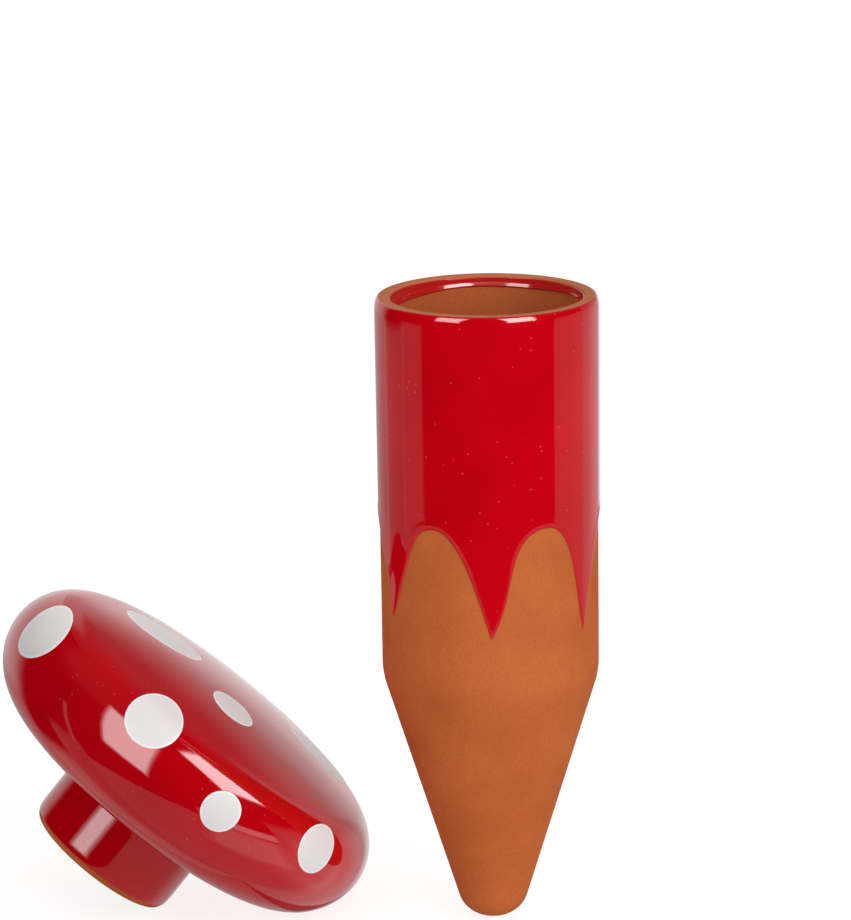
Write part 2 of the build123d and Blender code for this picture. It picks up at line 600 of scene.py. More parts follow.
@dataclass
class Spike:
    """The hollow terracotta spike with its glazed sleeve and the band inside its mouth."""

    length: float = 125.4 * MM
    rim_radius: float = 21.6 * MM
    shoulder_radius: float = 21.3 * MM
    shoulder_height: float = 50.0 * MM
    tip_radius: float = 5.4 * MM
    wall: float = 2.55 * MM
    tip_wall: float = 6.0 * MM
    shoulder_rounding: float = 13.5 * MM
    tip_rounding: float = 5.8 * MM
    rim_outer_rounding: float = 0.6 * MM
    rim_inner_rounding: float = 0.4 * MM
    throat_depth: float = 6.0 * MM
    glaze: float = 0.4 * MM
    hem_glaze: float = 0.32 * MM
    tuck: float = 0.05 * MM
    edge_width: float = 0.45 * MM
    bead_height: float = 0.12 * MM
    bead_place: float = 1.05 * MM
    bead_width: float = 0.6 * MM
    bead_start: float = 68 * MM
    bead_span: float = 12 * MM
    unroll_height: float = 72 * MM
    roll_height: float = 2.0 * MM
    roll_end: float = 20.0
    band_top: float = 0.18 * MM
    band_roll: float = 0.52 * MM
    band_depth: float = 2.1 * MM
    band_front_depth: float = 2.0 * MM
    band_left_depth: float = 3.6 * MM
    turning_steps: int = 192
    columns_to_an_arch: int = 120
    edge_rows: tuple[float, ...] = (
        0, 0.05, 0.12, 0.2, 0.3, 0.42, 0.56, 0.72, 0.9, 1.15, 1.5, 1.9, 2.4, 3.1, 4.0, 5.2,
    )
    plain_rows: int = 26
    roll_rows: int = 10
    drips: tuple[Drip, ...] = (
        Drip(-61.9, 63.6 * MM),
        Drip(0.0, 61.4 * MM),
        Drip(57.0, 60.8 * MM),
        Drip(119.0, 62.6 * MM),
        Drip(179.0, 61.7 * MM),
        Drip(238.5, 62.9 * MM),
    )
    arches: tuple[Arch, ...] = (
        Arch(-31.0, 82.75 * MM, Flank(0.495, 0.597, 0.485), Flank(0.816, 0.288, 0.521)),
        Arch(31.5, 82.85 * MM, Flank(0.559, 0.35, 0.79), Flank(0.78, 0.301, 0.682)),
        Arch(88.0, 82.3 * MM, Flank(0.86, 0.3, 0.5), Flank(0.62, 0.42, 0.6)),
        Arch(149.0, 82.8 * MM, Flank(0.8, 0.32, 0.6), Flank(0.7, 0.4, 0.55)),
        Arch(209.0, 82.4 * MM, Flank(0.66, 0.45, 0.62), Flank(0.82, 0.3, 0.5)),
        Arch(268.0, 82.6 * MM, Flank(0.7, 0.38, 0.7), Flank(0.941, 0.337, 0.361)),
    )

    def clay_radius(self, height: float) -> float:
        """Outer radius of the tube's clay at this height."""
        share = (height - self.shoulder_height) / (self.length - self.shoulder_height)
        return self.shoulder_radius + (self.rim_radius - self.shoulder_radius) * share

    def clay_mesh(self) -> bmesh.types.BMesh:
        """Turns the clay: tip, cone, tube, rim and the hollow inside."""
        slope = math.atan2(self.shoulder_radius - self.tip_radius, self.shoulder_height)
        mouth = self.rim_radius - self.wall
        inner_shoulder = self.shoulder_radius - self.wall
        inner_height = self.shoulder_height + self.wall * (1 / math.cos(slope) - 1) / math.tan(slope)
        inner_tip = self.tip_radius + self.tip_wall * math.tan(slope) - self.wall / math.cos(slope)
        template = Template(0, 0)
        template.line_to(self.tip_radius, 0).rounded(self.tip_rounding, 14)
        template.line_to(self.shoulder_radius, self.shoulder_height).rounded(self.shoulder_rounding, 10)
        template.line_to(self.rim_radius, self.length).rounded(self.rim_outer_rounding, 8)
        template.line_to(mouth, self.length).rounded(self.rim_inner_rounding, 6)
        template.line_to(mouth, self.length - self.throat_depth)
        template.line_to(inner_shoulder, inner_height).rounded(self.shoulder_rounding - self.wall, 8)
        template.line_to(inner_tip, self.tip_wall).rounded(inner_tip * 0.6, 8)
        template.line_to(0, self.tip_wall)
        return template.turned(self.turning_steps)

    def spans(self) -> list[tuple[Drip, Arch, Drip, float]]:
        """Lists the arches with the drips beside them.

        Returns:
            The drip before, the arch, the drip after, and the turn of that drip, counted on past 360.
        """
        found = []
        for number, arch in enumerate(self.arches):
            before = self.drips[number]
            after = self.drips[(number + 1) % len(self.drips)]
            lap = 360 if after.turn <= before.turn else 0
            found.append((before, arch, after, after.turn + lap))
        return found

    def hem_height(self, turn: float) -> float:
        """Height of the sleeve's hem.

        Args:
            turn: Degrees from the front, from the first drip's on.

        Returns:
            The height in metres.
        """
        for before, arch, after, after_turn in self.spans():
            if before.turn <= turn <= arch.turn:
                across = (arch.turn - turn) / (arch.turn - before.turn)
                return before.height + (arch.height - before.height) * arch.left.height_at(across)
            if arch.turn <= turn <= after_turn:
                across = (turn - arch.turn) / (after_turn - arch.turn)
                return after.height + (arch.height - after.height) * arch.right.height_at(across)
        raise ValueError(f"no arch at {turn} degrees")

    def column_turns(self) -> list[float]:
        """Where the sleeve's columns stand, in degrees, with one on each drip's tip and each arch's top."""
        half = self.columns_to_an_arch // 2
        turns = []
        for before, arch, _, after_turn in self.spans():
            turns += [before.turn + (arch.turn - before.turn) * step / half for step in range(half)]
            turns += [arch.turn + (after_turn - arch.turn) * step / half for step in range(half)]
        turns.append(turns[0] + 360)
        return turns

    def hem_tree(self, turns: Sequence[float], hem: Sequence[float]) -> KDTree:
        """The hem's line on the unrolled tube, for distances from it.

        Args:
            turns: The columns' places in degrees.
            hem: The hem's height at each.

        Returns:
            A tree of points along the line, a little beyond both ends too.
        """
        reach = self.clay_radius(self.unroll_height)
        cuts = 8
        points = []
        for number in range(len(turns) - 1):
            for cut in range(cuts):
                share = cut / cuts
                turn = turns[number] + (turns[number + 1] - turns[number]) * share
                height = hem[number] + (hem[number + 1] - hem[number]) * share
                for lap in (-360, 0, 360):
                    if turns[0] - 30 < turn + lap < turns[-1] + 30:
                        points.append((math.radians(turn + lap) * reach, height, 0))
        tree = KDTree(len(points))
        for number, point in enumerate(points):
            tree.insert(point, number)
        tree.balance()
        return tree

    def glaze_at(self, distance: float, bead_share: float) -> float:
        """Thickness of the sleeve at a distance from its hem.

        Args:
            distance: The distance from the hem.
            bead_share: How much of the bead there is, most over the arches and least on the drips.

        Returns:
            The thickness: a round edge, a low bead, then even.
        """
        if distance < self.edge_width:
            share = math.sqrt(max(0.0, 1 - (1 - distance / self.edge_width) ** 2))
        else:
            share = 1.0
        off = (distance - self.bead_place) / self.bead_width
        bead = self.bead_height * math.exp(-(off**2)) * bead_share
        return (self.hem_glaze + bead) * share

    def sleeve_mesh(self) -> bmesh.types.BMesh:
        """Wraps a grid round the tube: inner edge, hem, outer face, the roll under the rim."""
        turns = self.column_turns()
        hem = [self.hem_height(turn) for turn in turns]
        tree = self.hem_tree(turns, hem)
        reach = self.clay_radius(self.unroll_height)
        top = self.length - self.rim_outer_rounding
        rows = 1 + len(self.edge_rows) + self.plain_rows + self.roll_rows + 1
        columns = len(turns) - 1
        mesh = bmesh.new()
        depth_layer = mesh.verts.layers.float.new(GLAZE_DEPTH_AND_SHEEN)
        bmesh.ops.create_grid(mesh, x_segments=columns, y_segments=rows, size=0.5)
        for vert in mesh.verts:
            column = round((vert.co.x + 0.5) * columns)
            row = round((vert.co.y + 0.5) * rows)
            turn = math.radians(turns[column])
            foot = hem[column]
            out, height, depth = self.sleeve_section(row, rows, foot, top, tree, turn * reach)
            vert[depth_layer] = depth
            vert.co = (math.sin(turn) * out, -math.cos(turn) * out, height)
        close_up(mesh)
        return mesh

    def sleeve_section(
        self, row: int, rows: int, foot: float, top: float, tree: KDTree, along: float
    ) -> tuple[float, float, float]:
        """One point of the sleeve's section.

        Args:
            row: Number of the row.
            rows: The last row's number, which lies on the first.
            foot: Height of the hem there.
            top: Height where the rim's rounding starts.
            tree: The hem's line on the unrolled tube.
            along: Place round the unrolled tube.

        Returns:
            Distance from the axis, height, and the share of the full thickness.
        """
        if row in (0, rows):
            return self.clay_radius(foot) - self.tuck, foot, 0.0
        edge_end = len(self.edge_rows)
        roll_start = top - self.roll_height
        if row <= edge_end:
            height = foot + self.edge_rows[row - 1] * MM
        elif row <= edge_end + self.plain_rows:
            first = foot + self.edge_rows[-1] * MM
            height = first + (roll_start - first) * (row - edge_end) / self.plain_rows
        else:
            return self.roll_section(row - edge_end - self.plain_rows, roll_start)
        distance = tree.find((along, height, 0))[2]
        if row == 1:
            distance = 0.0
        rise = (height - foot) / (roll_start - foot)
        bead_share = min(1.0, max(0.1, (foot - self.bead_start) / self.bead_span))
        thickness = self.glaze_at(distance, bead_share) + (self.glaze - self.hem_glaze) * rise
        # the share falls towards the hem: thin glaze, and a painted pale highlight line along the hem's
        # edge
        share = min(1.0, thickness / self.hem_glaze)
        thickness = thickness if row > 1 else -self.tuck
        return self.clay_radius(height) + thickness, height, share if row > 1 else 0.0

    def roll_section(self, step: int, start: float) -> tuple[float, float, float]:
        """One point where the glaze thins out towards the rim and over its rounding, where the paler thin
        colour is also a painted highlight line.

        Args:
            step: Row within the roll, from 1 on.
            start: Height where the roll starts.

        Returns:
            Distance from the axis, height, and the share of the full thickness.
        """
        if step > self.roll_rows:
            start_height = self.length - self.rim_outer_rounding
            return self.clay_radius(start_height) - self.tuck * 2, start_height, 0.0
        turn = math.radians(90 * step / self.roll_rows)
        end = math.radians(self.roll_end)
        end_height = self.length - self.rim_outer_rounding * (1 - math.cos(end))
        height = start + (end_height - start) * math.sin(turn)
        full = self.clay_radius(start) + self.glaze
        low = self.rim_radius - self.rim_outer_rounding * (1 - math.sin(end))
        out = low + (full - low) * math.cos(turn)
        # the share falls over the rounding: thin glaze, and also a painted pale highlight line along the
        # rim's edge
        return out, height, min(1.0, 0.2 + math.cos(turn))

    def band_mesh(self) -> bmesh.types.BMesh:
        """Turns the band of glaze inside the mouth, then lets it run deeper at the left, and holds its
        depth value at half or less so that the whole band takes the paler colour, a painted pale
        reflection.
        """
        mouth = self.rim_radius - self.wall
        top = self.length - self.rim_inner_rounding
        nominal = self.band_depth
        template = Template(mouth + self.tuck, top)
        template.line_to(mouth - self.band_top, top).rounded(self.band_top * 0.6, 5)
        template.line_to(mouth - self.band_top - 0.05 * MM, top - nominal * 0.52, 4).rounded(0.9 * MM, 6)
        template.line_to(mouth - self.band_roll, top - nominal * 0.84, 4).rounded(0.3 * MM, 8)
        template.line_to(mouth + self.tuck, top - nominal)
        template.line_to(mouth + self.tuck, top)
        mesh = template.turned(self.turning_steps)
        depth_layer = mesh.verts.layers.float.new(GLAZE_DEPTH_AND_SHEEN)
        for vert in mesh.verts:
            turn = math.degrees(math.atan2(vert.co.x, -vert.co.y))
            left = math.exp(-(((turn + 90) / 48) ** 2))
            wobble = 0.12 * MM * math.sin(math.radians(turn * 5 + 40))
            depth = self.band_front_depth + (self.band_left_depth - self.band_front_depth) * left + wobble
            share = (top - vert.co.z) / nominal
            vert.co.z = top - depth * share
            thin = min(share, 1 - share) * 6
            # the depth value is held at half or less: the band takes the paler thin colour as a painted
            # pale pink reflection haze
            vert[depth_layer] = min(0.5, 0.25 + thin)
        return mesh

    def build(self, finishes: Finishes) -> list[bpy.types.Object]:
        """Makes the spike's three pieces.

        Args:
            finishes: The object's finishes.

        Returns:
            The pieces.
        """
        clay = Piece("spike_clay", Body.SPIKE, Slot.TERRACOTTA, ("spike_body",))
        sleeve = Piece("spike_sleeve", Body.SPIKE, Slot.RED_GLAZE, ("spike_glaze",))
        band = Piece("mouth_band", Body.SPIKE, Slot.RED_GLAZE, ("mouth_glaze",))
        return [
            clay.made_from(self.clay_mesh(), finishes.terracotta),
            sleeve.made_from(self.sleeve_mesh(), finishes.red_glaze),
            band.made_from(self.band_mesh(), finishes.red_glaze),
        ]


@dataclass(frozen=True)
class Dot:
    """One white dot, an oval painted by hand.

    turn is round the cap's axis from its low side and place the share of the way out from the crown.
    The oval's half sizes are in millimetres, the first of them raised from the level by lean degrees.
    A faced dot is a true oval when seen from the front, the others are when seen straight on.
    """

    turn: float
    place: float
    half_width: float
    half_height: float
    lean: float = 0.0
    faced: bool = False


@dataclass
class Cap:
    """The mushroom cap: a hollow dome with a plug, its red coat and its white dots."""

    radius: float = 43.0 * MM
    crown_height: float = 14.1 * MM
    underside_depth: float = 15.6 * MM
    upper_rounding: float = 11.1 * MM
    lower_rounding: float = 12.9 * MM
    wall: float = 3.2 * MM
    glaze: float = 0.4 * MM
    plug_radius: float = 16.0 * MM
    plug_length: float = 13.5 * MM
    plug_wall: float = 2.8 * MM
    plug_fillet: float = 2.0 * MM
    foot_rounding: float = 1.5 * MM
    left_of_spike: float = 60.4 * MM
    behind_spike: float = 10.6 * MM
    dot_proud: float = 0.04 * MM
    dot_edge: float = 0.3 * MM
    dot_depth: float = 0.15 * MM
    plug_roll: float = 2.6 * MM
    plug_roll_depth: float = 0.3 * MM
    tuck: float = 0.05 * MM
    turning_steps: int = 192
    dot_steps: int = 96
    dots: tuple[Dot, ...] = (
        Dot(-158.1, 0.893, 6.8, 3.65, 42, faced=True),
        Dot(142.6, 0.414, 9.0, 9.0),
        Dot(-110.8, 0.799, 5.9, 5.5, -8, faced=True),
        Dot(-84.3, 0.169, 5.15, 1.7, -42, faced=True),
        Dot(32.4, 0.567, 7.85, 7.85),
        Dot(-80.9, 0.926, 4.3, 4.0, 42, faced=True),
        Dot(-47.2, 0.862, 5.2, 3.4, 69, faced=True),
        Dot(22.0, 0.93, 5.3, 5.5, 20),
        Dot(62.0, 0.80, 7.2, 6.8, 60),
        Dot(96.0, 0.91, 4.4, 4.7, 10),
        Dot(122.0, 0.73, 6.3, 5.9, -30),
        Dot(158.0, 0.92, 4.6, 4.9, 50),
    )
    upper_reach: float = field(init=False)
    lower_reach: float = field(init=False)
    crown_radius: float = field(init=False)
    underside_radius: float = field(init=False)
    crown_angle: float = field(init=False)
    underside_angle: float = field(init=False)
    plug_end: float = field(init=False)
    fillet_out: float = field(init=False)
    fillet_height: float = field(init=False)
    fillet_angle: float = field(init=False)
    seam_turn: float = field(init=False)
    place: Matrix = field(init=False)

    def __post_init__(self) -> None:
        """Works out the dome's arcs, the plug's fillet, and how the cap lies on its edge and its foot."""
        self.upper_reach = self.radius - self.upper_rounding
        self.lower_reach = self.radius - self.lower_rounding
        self.crown_radius = (self.upper_reach**2 + self.crown_height**2 - self.upper_rounding**2) / (
            2 * (self.crown_height - self.upper_rounding)
        )
        self.underside_radius = (
            self.lower_reach**2 + self.underside_depth**2 - self.lower_rounding**2
        ) / (2 * (self.underside_depth - self.lower_rounding))
        upper_share = self.upper_reach / (self.crown_radius - self.upper_rounding)
        lower_share = self.lower_reach / (self.underside_radius - self.lower_rounding)
        self.crown_angle = math.degrees(math.asin(upper_share))
        self.underside_angle = math.degrees(math.asin(lower_share))
        span = self.underside_radius + self.plug_fillet
        self.fillet_out = self.plug_radius + self.plug_fillet
        self.fillet_angle = math.degrees(math.asin(self.fillet_out / span))
        self.fillet_height = self.underside_centre - math.sqrt(span**2 - self.fillet_out**2)
        self.seam_turn = (90 - self.fillet_angle) / 2
        self.plug_end = -self.underside_depth - self.plug_length
        across = self.lower_reach - (self.plug_radius - self.glaze - self.foot_rounding)
        down = -self.plug_end - self.foot_rounding
        contact = math.acos((self.foot_rounding - self.lower_rounding) / math.hypot(across, down))
        contact -= math.atan2(down, across)
        height = self.lower_reach * math.cos(contact) + self.lower_rounding
        self.place = Matrix.Translation((-self.left_of_spike, self.behind_spike, height)) @ Matrix.Rotation(
            math.pi / 2 - contact, 4, "Y"
        )

    @property
    def crown_centre(self) -> float:
        """Height of the crown arc's centre, which is on the axis."""
        return self.crown_height - self.crown_radius

    @property
    def underside_centre(self) -> float:
        """Height of the underside arc's centre, which is on the axis."""
        return self.underside_radius - self.underside_depth

    def dome_out(self, template: Template, steps: int) -> Template:
        """Draws the dome from its crown over the widest line to the start of the underside.

        Args:
            template: The template, whose end is on the axis.
            steps: Edges to each of the three arcs.

        Returns:
            The template.
        """
        template.arc_about(0, self.crown_centre, self.crown_angle, steps)
        template.arc_about(self.upper_reach, 0, 90 - self.crown_angle, steps)
        return template.arc_about(self.lower_reach, 0, 90 - self.underside_angle, steps)

    def dome_back(self, template: Template, steps: int) -> Template:
        """Draws the dome the other way, from the end of the underside to the crown."""
        template.arc_about(self.lower_reach, 0, self.underside_angle - 90, steps)
        template.arc_about(self.upper_reach, 0, self.crown_angle - 90, steps)
        return template.arc_about(0, self.crown_centre, -self.crown_angle, steps)

    def seam_point(self, span: float) -> tuple[float, float]:
        """Where the two coats meet, at this distance from the fillet's centre."""
        seam = math.radians(self.fillet_angle + self.seam_turn)
        return self.fillet_out - math.sin(seam) * span, self.fillet_height + math.cos(seam) * span

    def clay_mesh(self) -> bmesh.types.BMesh:
        """Turns the cap's clay: the hollow, the bore, the bare foot, and the outside under the coat."""
        inset = self.glaze + self.wall
        bore = self.plug_radius - self.glaze - self.plug_wall
        template = self.dome_out(Template(0, self.crown_height - inset), 14)
        bore_angle = math.degrees(math.asin(bore / (self.underside_radius - inset)))
        template.arc_about(0, self.underside_centre, self.underside_angle - bore_angle, 8)
        template.line_to(bore, self.plug_end, 6).rounded(0.5 * MM, 5)
        template.line_to(self.plug_radius - self.glaze, self.plug_end).rounded(self.foot_rounding, 8)
        template.line_to(self.plug_radius - self.glaze, self.fillet_height, 4)
        template.arc_about(self.fillet_out, self.fillet_height, 90 - self.fillet_angle, 8)
        template.arc_about(0, self.underside_centre, self.fillet_angle - self.underside_angle, 8)
        self.dome_back(template, 14)
        return self.laid_down(template.turned(self.turning_steps))

    def dome_coat_mesh(self) -> bmesh.types.BMesh:
        """Turns the red coat of the dome, from the crown to the middle of the plug's fillet."""
        inner = self.glaze + self.tuck
        template = self.dome_out(Template(0, self.crown_height - self.dot_proud), 28)
        template.arc_about(0, self.underside_centre, self.underside_angle - self.fillet_angle, 14)
        template.arc_about(self.fillet_out, self.fillet_height, -self.seam_turn, 8)
        template.line_to(*self.seam_point(self.plug_fillet + inner))
        template.arc_about(self.fillet_out, self.fillet_height, self.seam_turn, 4)
        template.arc_about(0, self.underside_centre, self.fillet_angle - self.underside_angle, 6)
        self.dome_back(template, 12)
        mesh = template.turned(self.turning_steps)
        self.mark_depth(mesh)
        return self.laid_down(mesh)

    def plug_coat_mesh(self) -> bmesh.types.BMesh:
        """Turns the plug's red coat, from the middle of its fillet to its thin edge above the foot."""
        inner = self.glaze + self.tuck
        edge = self.coat_edge
        face = self.plug_radius - self.dot_proud
        span = self.plug_fillet + self.dot_proud
        template = Template(*self.seam_point(span))
        template.arc_about(self.fillet_out, self.fillet_height, -self.seam_turn, 8)
        template.line_to(face, edge + self.plug_roll, 8)
        for step in range(1, 11):
            down = math.sin(math.radians(9 * step))
            fall = self.plug_roll_depth * (1 - math.cos(math.radians(9 * step)))
            template.line_to(face - fall, edge + self.plug_roll * (1 - down))
        template.line_to(self.plug_radius - inner, edge)
        template.line_to(self.plug_radius - inner, self.fillet_height, 2)
        template.arc_about(self.fillet_out, self.fillet_height, self.seam_turn, 4)
        template.line_to(*self.seam_point(span))
        mesh = template.turned(self.turning_steps)
        self.mark_depth(mesh)
        return self.laid_down(mesh)

    @property
    def coat_edge(self) -> float:
        """Height where the coat ends on the plug, just over the foot's rounding."""
        return self.plug_end + self.foot_rounding - 0.2 * MM

    def mark_depth(self, mesh: bmesh.types.BMesh) -> None:
        """Writes the glaze's depth on a part of the coat: thin only along its lower edge."""
        depth_layer = mesh.verts.layers.float.new(GLAZE_DEPTH_AND_SHEEN)
        for vert in mesh.verts:
            vert[depth_layer] = min(1.0, max(0.2, 0.2 + (vert.co.z - self.coat_edge) / (0.5 * MM)))

    def laid_down(self, mesh: bmesh.types.BMesh) -> bmesh.types.BMesh:
        """Puts an upright mesh of the cap where the cap lies."""
        bmesh.ops.transform(mesh, matrix=self.place, verts=mesh.verts[:])
        return mesh

    def from_dome(self, point: Vector) -> tuple[float, Vector]:
        """How far a point is from the finished dome, and which way.

        Args:
            point: The point, in the upright cap's place.

        Returns:
            The distance, less than 0 inside the dome, and the direction straight out of the dome there.
        """
        out = math.hypot(point.x, point.y)
        lower = point.z < 0
        turn = math.degrees(math.atan2(out, point.z - self.crown_centre))
        if not lower and turn <= self.crown_angle:
            centre, rounding = Vector((0, 0, self.crown_centre)), self.crown_radius
        else:
            reach = self.lower_reach if lower else self.upper_reach
            rounding = self.lower_rounding if lower else self.upper_rounding
            centre = Vector((point.x / out * reach, point.y / out * reach, 0))
        return (point - centre).length - rounding, (point - centre).normalized()

    def dot_place(self, dot: Dot) -> Matrix:
        """Where a dot's plane is, on the upright cap.

        Args:
            dot: The dot.

        Returns:
            The plane's matrix, whose Z points out of the dome.
        """
        crown_length = self.crown_radius * math.radians(self.crown_angle)
        upper_length = self.upper_rounding * math.radians(90 - self.crown_angle)
        along = dot.place * (crown_length + upper_length)
        if along <= crown_length:
            angle = along / self.crown_radius
            out = self.crown_radius * math.sin(angle)
            height = self.crown_centre + self.crown_radius * math.cos(angle)
        else:
            angle = math.radians(self.crown_angle) + (along - crown_length) / self.upper_rounding
            out = self.upper_reach + self.upper_rounding * math.sin(angle)
            height = self.upper_rounding * math.cos(angle)
        round_axis = Matrix.Rotation(math.radians(dot.turn), 3, "Z")
        spot = round_axis @ Vector((out, 0, height))
        if dot.faced:
            upright = self.place.inverted().to_3x3()
            outwards = upright @ (CAMERA_PLACE - self.place @ spot).normalized()
            across = upright @ Vector((1, 0, 0))
        else:
            outwards = round_axis @ Vector((math.sin(angle), 0, math.cos(angle)))
            across = round_axis @ Vector((0, 1, 0))
        plane = Matrix((across, outwards.cross(across), outwards)).transposed()
        return Matrix.Translation(spot) @ plane.to_4x4()

    def dot_mesh(self, dot: Dot) -> bmesh.types.BMesh:
        """Turns a thin round-edged disc and lays it on the dome.

        Args:
            dot: The dot.

        Returns:
            The dot's mesh, in place.
        """
        radius = (dot.half_width + dot.half_height) / 2 * MM
        wide = dot.half_width * MM / radius
        high = dot.half_height * MM / radius
        lean = math.radians(dot.lean if dot.faced else -dot.lean)
        deep = -self.dot_depth
        template = Template(0, 0)
        template.line_to(radius - self.dot_edge, 0, 12)
        template.arc_about(radius - self.dot_edge, -self.dot_edge, 55, 6)
        template.line_to(template.end.co.x, deep - 0.02 * MM)
        template.line_to(0, deep, 6)
        mesh = template.turned(self.dot_steps)
        plane = self.dot_place(dot)
        outwards = plane.to_3x3() @ Vector((0, 0, 1))
        depth_layer = mesh.verts.layers.float.new(GLAZE_DEPTH_AND_SHEEN)
        for vert in mesh.verts:
            lift = vert.co.z
            vert[depth_layer] = min(1.0, max(0.0, (radius - vert.co.xy.length) / self.dot_edge - 0.8))
            across = vert.co.x * wide * math.cos(lean) - vert.co.y * high * math.sin(lean)
            upwards = vert.co.x * wide * math.sin(lean) + vert.co.y * high * math.cos(lean)
            point = plane @ Vector((across, upwards, 0))
            for _ in range(SETTLING_STEPS):
                point -= outwards * self.from_dome(point)[0]
            vert.co = point + self.from_dome(point)[1] * lift
        return self.laid_down(mesh)

    def build(self, finishes: Finishes) -> list[bpy.types.Object]:
        """Makes the cap's clay, coat and dots.

        Args:
            finishes: The object's finishes.

        Returns:
            The pieces.
        """
        clay = Piece("cap_clay", Body.CAP, Slot.TERRACOTTA, ("cap_body",))
        dome_coat = Piece("dome_coat", Body.CAP, Slot.RED_GLAZE, ("cap_glaze",))
        plug_coat = Piece("plug_coat", Body.CAP, Slot.RED_GLAZE, ("cap_glaze",))
        pieces = [
            clay.made_from(self.clay_mesh(), finishes.terracotta),
            plug_coat.made_from(self.plug_coat_mesh(), finishes.red_glaze),
            dome_coat.made_from(self.dome_coat_mesh(), finishes.red_glaze),
        ]
        for number, dot in enumerate(self.dots, start=1):
            spot = Piece(f"white_dot_{number}", Body.CAP, Slot.WHITE_GLAZE, (f"dot_{number}",))
            pieces.append(spot.made_from(self.dot_mesh(dot), finishes.white_glaze))
        return pieces


@dataclass(frozen=True)
class SoftCard:
    """A lit studio panel, by the direction and size that it has as seen from what it lights."""

    name: str
    azimuth: float
    elevation: float
    half_width: float
    half_height: float
    brightness: float
    roll: float = 0.0
    distance: float = 1.2
    glossy: bool = True
    layers: int = 3
    feather: float = 0.07
    layer_gap: float = 0.002

    def hang(self, centre: Vector, receivers: Sequence[bpy.types.Object]) -> None:
        """Hangs the panel, in layers that make its edge soft: the smallest is nearest and brightest.

        Args:
            centre: The point that the directions are taken from.
            receivers: The pieces that it lights.
        """
        way = towards(self.azimuth, self.elevation)
        right = Vector((0, 0, 1)).cross(way).normalized()
        up = way.cross(right)
        turn = Matrix((right, up, way)).transposed() @ Matrix.Rotation(math.radians(self.roll), 3, "Z")
        for layer in range(self.layers):
            share = 1 - self.feather * layer
            distance = self.distance * (1 - self.layer_gap * layer)
            lamp = bpy.data.lights.new(self.name, "AREA")
            lamp.shape = "RECTANGLE"
            lamp.size = 2 * distance * math.tan(math.radians(self.half_width)) * share
            lamp.size_y = 2 * distance * math.tan(math.radians(self.half_height)) * share
            brightness = self.brightness * (layer + 1) / self.layers
            lamp.energy = brightness * math.pi * lamp.size * lamp.size_y
            lamp.use_shadow = not self.glossy
            panel = placed(self.name, lamp)
            panel.matrix_world = Matrix.Translation(centre + way * distance) @ turn.to_4x4()
            panel.visible_camera = False
            panel.visible_glossy = self.glossy
            panel.visible_diffuse = not self.glossy
            group = bpy.data.collections.new(f"lit by {self.name}")
            for piece in receivers:
                group.objects.link(piece)
            panel.light_linking.receiver_collection = group


def plain_lamp(
    name: str, azimuth: float, elevation: float, half_size: float, brightness: float
) -> SoftCard:
    """A square panel of plain light, which the gloss doesn't see."""
    card = SoftCard(name, azimuth, elevation, half_size, half_size, brightness)
    return replace(card, glossy=False, distance=1.6, layers=1)


@dataclass(frozen=True)
class Sweep:
    """A stretch of the surroundings in the gloss: from one azimuth to another, below a height."""

    start: float
    end: float
    blur: float
    top: float
    top_blur: float
    brightness: float
    bottom: float = -120.0


